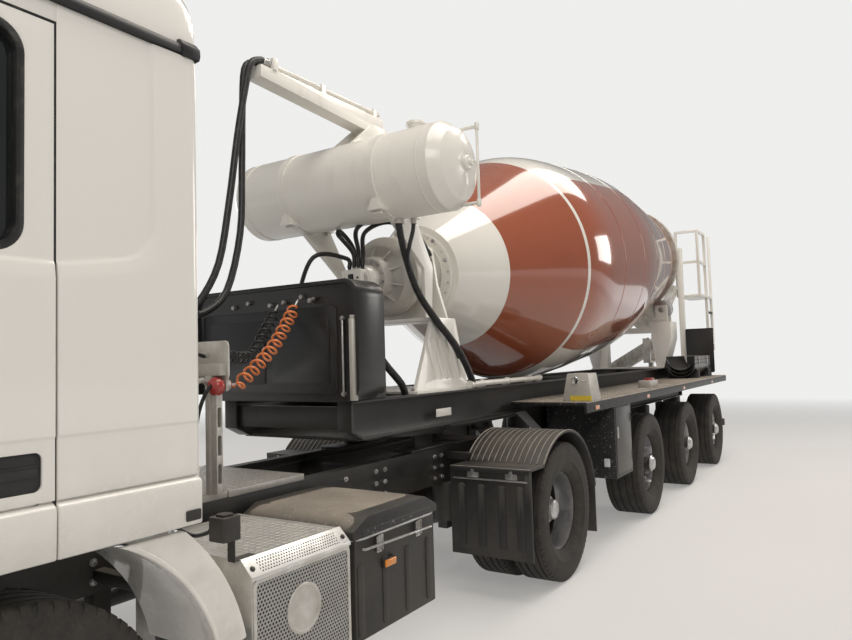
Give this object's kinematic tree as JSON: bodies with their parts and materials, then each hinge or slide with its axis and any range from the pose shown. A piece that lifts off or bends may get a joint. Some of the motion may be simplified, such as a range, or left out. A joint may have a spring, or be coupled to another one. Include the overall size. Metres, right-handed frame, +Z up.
{
  "type": "concrete mixer semi-trailer truck",
  "caption": "Articulated concrete mixer: a short tilting cab tractor hinged at its kingpin to a semi-trailer with a turning drum, water tank, hopper and swivelling discharge chute.",
  "frame": {"origin": "on the ground under the middle of the whole vehicle's length and width", "axes": "+X points to the front of the tractor, +Y to its left side, +Z up"},
  "size_m": [13.32, 3.01, 3.9731],
  "materials": {
    "white_paint": "gloss",
    "cab_paint": "gloss",
    "drum_paint": "gloss",
    "black_frame": "satin",
    "black_plastic": "matte",
    "tyre": "matte",
    "rim_silver": "satin",
    "grey_metal": "satin",
    "grey_paint": "satin",
    "window": "gloss",
    "trim_grey": "matte",
    "worn_steel": "worn",
    "black_gloss": "gloss",
    "alu": "satin",
    "hose_rubber": "satin",
    "orange_coil": "gloss",
    "chrome_rod": "polished"
  },
  "bodies": {
    "tractor": {"tractor_frame": "black_frame", "engine_block": "grey_paint", "front_axle": "black_frame", "rear_axle": "black_frame", "fifth_wheel": "grey_metal", "front_bumper": "cab_paint", "silencer_box": "grey_metal", "battery_box": "black_plastic", "fuel_tank": "alu", "front_mudguards": "black_plastic", "rear_mudguards": "black_plastic", "coupling_bracket": "grey_metal"},
    "cab": {"cab_shell": "cab_paint", "windscreen": "window", "cab_interior": "trim_grey", "mirrors": "black_plastic"},
    "front_flap": {"front_flap": "black_plastic"},
    "door_left": {"door_left": "cab_paint", "door_glass_left": "window"},
    "door_right": {"door_right": "cab_paint", "door_glass_right": "window"},
    "knuckle_left": {"knuckle_left": "black_frame"},
    "knuckle_right": {"knuckle_right": "black_frame"},
    "wheel_front_left": {"wheel_front_left": "tyre"},
    "wheel_front_right": {"wheel_front_right": "tyre"},
    "wheel_rear_left": {"wheel_rear_left": "tyre"},
    "wheel_rear_right": {"wheel_rear_right": "tyre"},
    "trailer": {"trailer_frame": "black_frame", "chute_bearings": "black_frame", "trailer_deck": "black_frame", "trailer_axles": "black_frame", "landing_legs": "black_frame", "headboard": "black_plastic", "drum_pedestal": "white_paint", "drum_gearbox": "grey_paint", "water_tank": "white_paint", "hose_arm": "white_paint", "drum_support": "white_paint", "hopper": "white_paint", "hopper_frame": "white_paint", "rear_platform": "white_paint", "spare_chutes": "black_gloss", "hydraulic_hose_left": "hose_rubber", "hydraulic_hose_right": "hose_rubber", "air_coil": "orange_coil", "electric_coil": "hose_rubber"},
    "drum": {"drum": "drum_paint", "drum_blades": "worn_steel"},
    "roller_left": {"roller_left": "rim_silver"},
    "roller_right": {"roller_right": "rim_silver"},
    "chute_swivel": {"chute_swivel": "white_paint"},
    "chute": {"chute": "white_paint"},
    "chute_cylinder": {"chute_cylinder": "black_frame"},
    "chute_rod": {"chute_rod": "chrome_rod"},
    "trailer_wheel_left_1": {"trailer_wheel_left_1": "tyre"},
    "trailer_wheel_left_2": {"trailer_wheel_left_2": "tyre"},
    "trailer_wheel_left_3": {"trailer_wheel_left_3": "tyre"},
    "trailer_wheel_right_1": {"trailer_wheel_right_1": "tyre"},
    "trailer_wheel_right_2": {"trailer_wheel_right_2": "tyre"},
    "trailer_wheel_right_3": {"trailer_wheel_right_3": "tyre"}
  },
  "joints": [
    {"name": "cab_tilt", "type": "hinge", "parent": "tractor", "child": "cab", "pos_m": [6.55, 0, 0.9], "axis": [0, 1, 0], "range_deg": [0, 60]},
    {"name": "front_flap_hinge", "type": "hinge", "parent": "cab", "child": "front_flap", "pos_m": [6.65, 0, 1.694], "axis": [0, -1, 0], "range_deg": [0, 80]},
    {"name": "door_left_hinge", "type": "hinge", "parent": "cab", "child": "door_left", "pos_m": [6.087, 1.245, 2], "axis": [0, 0, -1], "range_deg": [0, 70]},
    {"name": "door_right_hinge", "type": "hinge", "parent": "cab", "child": "door_right", "pos_m": [6.087, -1.245, 2], "axis": [0, 0, 1], "range_deg": [0, 70]},
    {"name": "steer_left", "type": "hinge", "parent": "tractor", "child": "knuckle_left", "pos_m": [5.22, 0.86, 0.485], "axis": [0, 0, 1], "range_deg": [-38, 38]},
    {"name": "steer_right", "type": "hinge", "parent": "tractor", "child": "knuckle_right", "pos_m": [5.22, -0.86, 0.485], "axis": [0, 0, 1], "range_deg": [-38, 38]},
    {"name": "wheel_front_left_spin", "type": "hinge", "parent": "knuckle_left", "child": "wheel_front_left", "pos_m": [5.22, 1.025, 0.515], "axis": [0, 1, 0], "continuous": true},
    {"name": "wheel_front_right_spin", "type": "hinge", "parent": "knuckle_right", "child": "wheel_front_right", "pos_m": [5.22, -1.025, 0.515], "axis": [0, 1, 0], "continuous": true},
    {"name": "wheel_rear_left_spin", "type": "hinge", "parent": "tractor", "child": "wheel_rear_left", "pos_m": [1.22, 1.09, 0.515], "axis": [0, 1, 0], "continuous": true},
    {"name": "wheel_rear_right_spin", "type": "hinge", "parent": "tractor", "child": "wheel_rear_right", "pos_m": [1.22, -1.09, 0.515], "axis": [0, 1, 0], "continuous": true},
    {"name": "kingpin_yaw", "type": "hinge", "parent": "tractor", "child": "trailer", "pos_m": [1.82, 0, 1.15], "axis": [0, 0, 1], "range_deg": [-60, 60], "deforming": ["hydraulic_hose_left", "hydraulic_hose_right", "air_coil", "electric_coil"]},
    {"name": "drum_spin", "type": "hinge", "parent": "trailer", "child": "drum", "pos_m": [1.41, 0, 2.4], "axis": [-0.9925, 0, 0.1219], "continuous": true},
    {"name": "trailer_wheel_left_1_spin", "type": "hinge", "parent": "trailer", "child": "trailer_wheel_left_1", "pos_m": [-1.24, 1.0425, 0.525], "axis": [0, 1, 0], "continuous": true},
    {"name": "trailer_wheel_left_2_spin", "type": "hinge", "parent": "trailer", "child": "trailer_wheel_left_2", "pos_m": [-3.05, 1.0425, 0.525], "axis": [0, 1, 0], "continuous": true},
    {"name": "trailer_wheel_left_3_spin", "type": "hinge", "parent": "trailer", "child": "trailer_wheel_left_3", "pos_m": [-4.86, 1.0425, 0.525], "axis": [0, 1, 0], "continuous": true},
    {"name": "trailer_wheel_right_1_spin", "type": "hinge", "parent": "trailer", "child": "trailer_wheel_right_1", "pos_m": [-1.24, -1.0425, 0.525], "axis": [0, 1, 0], "continuous": true},
    {"name": "trailer_wheel_right_2_spin", "type": "hinge", "parent": "trailer", "child": "trailer_wheel_right_2", "pos_m": [-3.05, -1.0425, 0.525], "axis": [0, 1, 0], "continuous": true},
    {"name": "trailer_wheel_right_3_spin", "type": "hinge", "parent": "trailer", "child": "trailer_wheel_right_3", "pos_m": [-4.86, -1.0425, 0.525], "axis": [0, 1, 0], "continuous": true},
    {"name": "roller_left_spin", "type": "hinge", "parent": "trailer", "child": "roller_left", "pos_m": [-4.81103, 0.53699, 2.36174], "axis": [-0.9925, 0, 0.1219], "continuous": true},
    {"name": "roller_right_spin", "type": "hinge", "parent": "trailer", "child": "roller_right", "pos_m": [-4.81103, -0.53699, 2.36174], "axis": [-0.9925, 0, 0.1219], "continuous": true},
    {"name": "chute_swing", "type": "hinge", "parent": "trailer", "child": "chute_swivel", "pos_m": [-6.01, 0, 1.2], "axis": [0, 0, -1], "range_deg": [0, 125]},
    {"name": "chute_tilt", "type": "hinge", "parent": "chute_swivel", "child": "chute", "pos_m": [-6.01, 0, 1.9], "axis": [-1, 0, 0], "range_deg": [-5, 20]},
    {"name": "cylinder_pivot", "type": "hinge", "parent": "chute_swivel", "child": "chute_cylinder", "pos_m": [-6.01, -0.085, 1.02], "axis": [-1, 0, 0], "range_deg": [-2.8, 10.59]},
    {"name": "rod_slide", "type": "slide", "parent": "chute_cylinder", "child": "chute_rod", "axis": [0, -0.9213, 0.3889], "range_m": [-0.0738, 0.2893]}
  ],
  "couplings": [
    {"joint": "steer_right", "follows": "steer_left", "ratio": 1},
    {"joint": "roller_left_spin", "follows": "drum_spin", "ratio": -5.8571},
    {"joint": "roller_right_spin", "follows": "drum_spin", "ratio": -5.8571},
    {"joint": "cylinder_pivot", "follows": "chute_tilt", "ratio": 0.51932},
    {"joint": "rod_slide", "follows": "chute_tilt", "m_per_rad": 0.82318}
  ]
}
